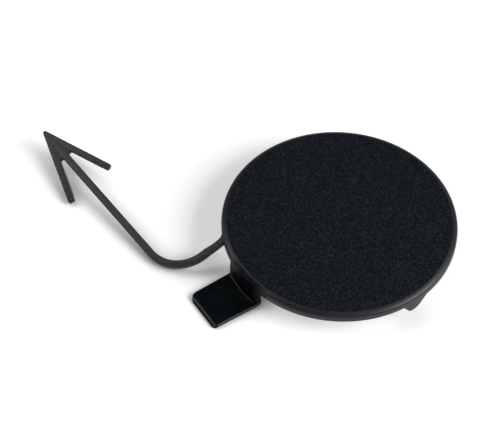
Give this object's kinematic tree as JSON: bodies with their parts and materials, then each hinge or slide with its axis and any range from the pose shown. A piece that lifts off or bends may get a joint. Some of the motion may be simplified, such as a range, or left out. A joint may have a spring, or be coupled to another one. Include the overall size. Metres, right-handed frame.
{
  "type": "tow hook cover",
  "caption": "Round moulded cover for a car's tow hook opening, with a flat locating tongue, side tabs, a spring clip and a thin tether that ends in a barbed arrow.",
  "frame": {"origin": "centre of the round outer face, on the rim's axis", "axes": "+Z out of the face, -X along the locating tongue, a side tab near each end of Y, the spring clip along +X"},
  "size_m": [0.0972, 0.1172, 0.0105],
  "materials": {
    "cover": "black moulded plastic, fine spark grain on the face, satin rim and tether"
  },
  "bodies": {
    "root": {"tow_hook_cover": "cover"}
  },
  "joints": []
}
